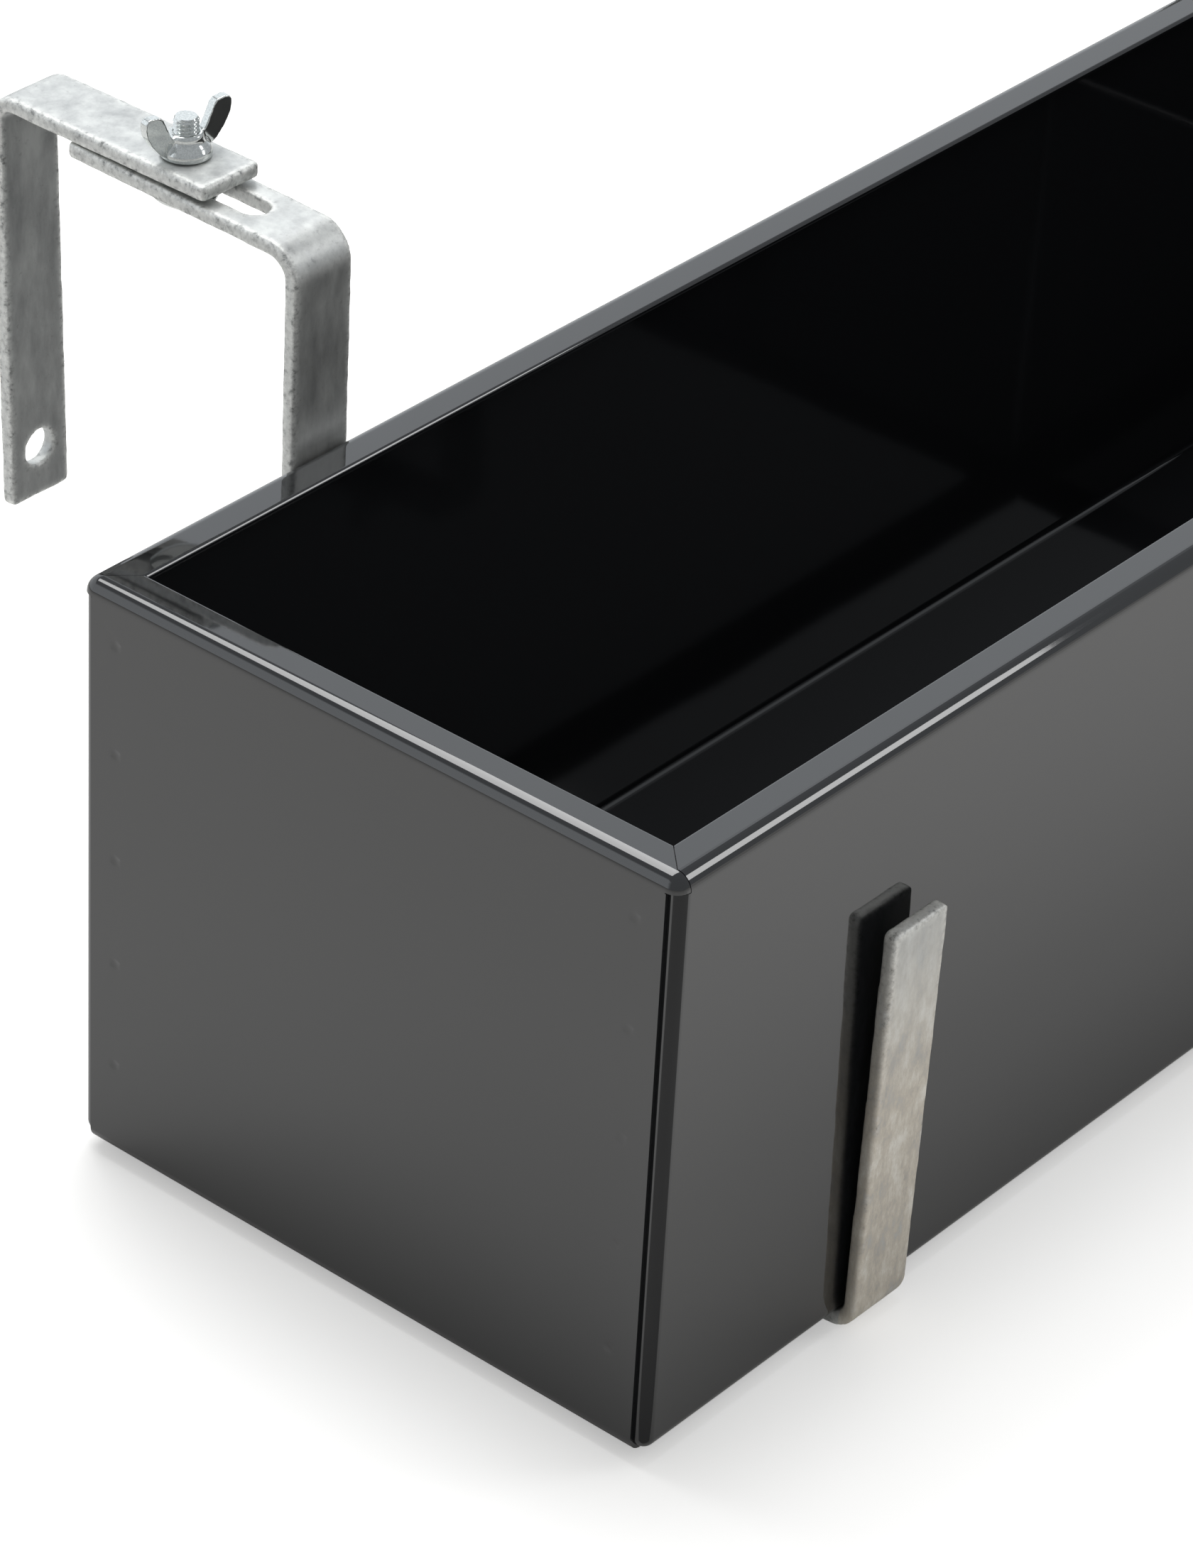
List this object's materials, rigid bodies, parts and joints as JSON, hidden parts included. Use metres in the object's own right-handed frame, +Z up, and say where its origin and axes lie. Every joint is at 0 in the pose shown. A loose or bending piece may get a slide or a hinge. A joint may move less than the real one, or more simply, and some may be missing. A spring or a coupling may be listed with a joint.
{
  "type": "window box planter",
  "caption": "Long open-topped planter of folded enamelled sheet steel, carried by flat-bar brackets with adjustable hooks that hang it on a balcony railing.",
  "frame": {"origin": "centre of the whole part's bounding box, on the surface under the bracket bars", "axes": "+X along the box towards the right end, -Y out of its front, +Z up"},
  "size_m": [0.8, 0.3612, 0.2983],
  "materials": {
    "box_enamel": "mirror-gloss enamel on sheet steel, near-black anthracite",
    "galvanised_bar": "hot-dip galvanised flat bar, mottled light grey with drips and soft edges",
    "zinc_fastener": "bright bluish zinc plate on cast and turned steel"
  },
  "bodies": {
    "left_bracket": {"carrier_left": "galvanised_bar"},
    "planter_box": {"trough_body": "box_enamel", "end_panel_left": "box_enamel", "end_panel_right": "box_enamel"},
    "right_bracket": {"carrier_right": "galvanised_bar"},
    "left_hook": {"rear_hook_left": "galvanised_bar"},
    "left_nut": {"wing_nut_left": "zinc_fastener"},
    "left_bolt": {"carriage_bolt_left": "zinc_fastener"},
    "right_hook": {"rear_hook_right": "galvanised_bar"},
    "right_nut": {"wing_nut_right": "zinc_fastener"},
    "right_bolt": {"carriage_bolt_right": "zinc_fastener"}
  },
  "joints": [
    {"name": "box_lift", "type": "slide", "parent": "left_bracket", "child": "planter_box", "axis": [0, 0, 1], "range_m": [0, 0.25]},
    {"name": "right_bracket_slide", "type": "slide", "parent": "left_bracket", "child": "right_bracket", "axis": [1, 0, 0], "range_m": [-0.56, 0.07]},
    {"name": "left_hook_slide", "type": "slide", "parent": "left_bracket", "child": "left_hook", "axis": [0, 1, 0], "range_m": [-0.02, 0.018]},
    {"name": "left_nut_turn", "type": "hinge", "parent": "left_hook", "child": "left_nut", "pos_m": [-0.297, 0.11028, 0.2823], "axis": [0, 0, 1], "range_deg": [0, 900]},
    {"name": "left_bolt_drop", "type": "slide", "parent": "left_hook", "child": "left_bolt", "axis": [0, 0, -1], "range_m": [0, 0.0036]},
    {"name": "right_hook_slide", "type": "slide", "parent": "right_bracket", "child": "right_hook", "axis": [0, 1, 0], "range_m": [-0.02, 0.018]},
    {"name": "right_nut_turn", "type": "hinge", "parent": "right_hook", "child": "right_nut", "pos_m": [0.297, 0.11028, 0.2823], "axis": [0, 0, 1], "range_deg": [0, 900]},
    {"name": "right_bolt_drop", "type": "slide", "parent": "right_hook", "child": "right_bolt", "axis": [0, 0, -1], "range_m": [0, 0.0036]}
  ],
  "couplings": [
    {"joint": "left_bolt_drop", "follows": "left_nut_turn", "m_per_rad": 0.00019894},
    {"joint": "right_bolt_drop", "follows": "right_nut_turn", "m_per_rad": 0.00019894}
  ]
}
